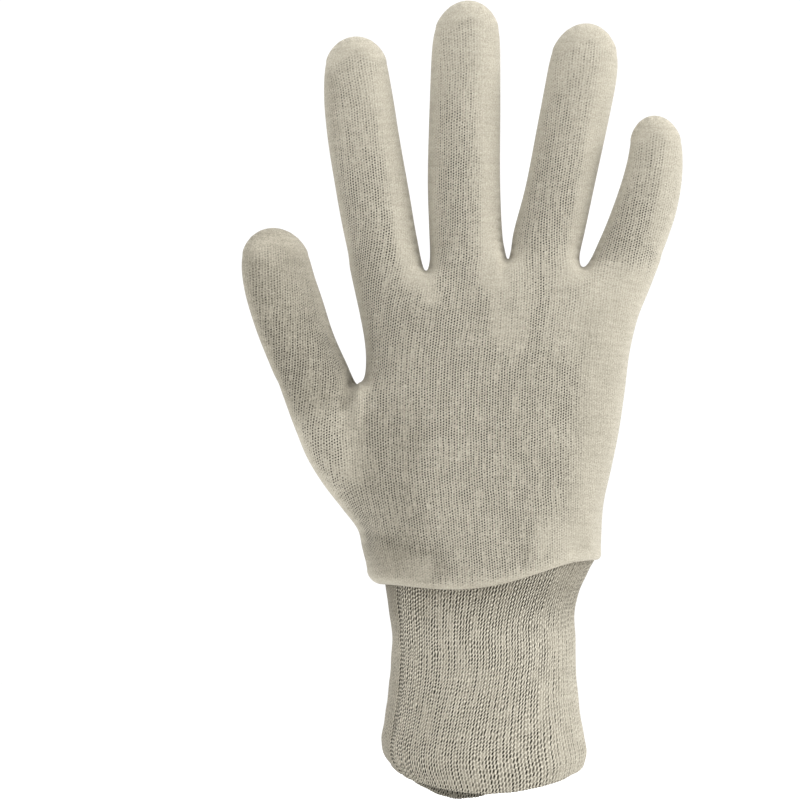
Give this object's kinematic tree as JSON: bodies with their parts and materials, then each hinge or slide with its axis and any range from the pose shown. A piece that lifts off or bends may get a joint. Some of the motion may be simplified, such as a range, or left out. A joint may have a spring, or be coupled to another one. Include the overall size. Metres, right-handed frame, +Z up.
{
  "type": "cotton work glove",
  "caption": "Knitted cotton work glove, open as a hand wears it, with puffed fingers and thumb, a seam all round and a ribbed wrist cuff.",
  "frame": {"origin": "middle of the wrist opening, 0.4 mm below the lowest point of the cuff's rim, which is at the back", "axes": "+Z up through the glove to its fingertips, -Y out of the palm panel, -X towards the thumb"},
  "size_m": [0.1416, 0.0494, 0.2546],
  "materials": {
    "jersey": "undyed cotton jersey, matt and slightly fuzzy",
    "ribbed_cuff": "undyed cotton rib knit, matt"
  },
  "bodies": {
    "root": {"palm_panel": "jersey", "back_panel": "jersey", "knit_cuff": "ribbed_cuff"}
  },
  "joints": []
}
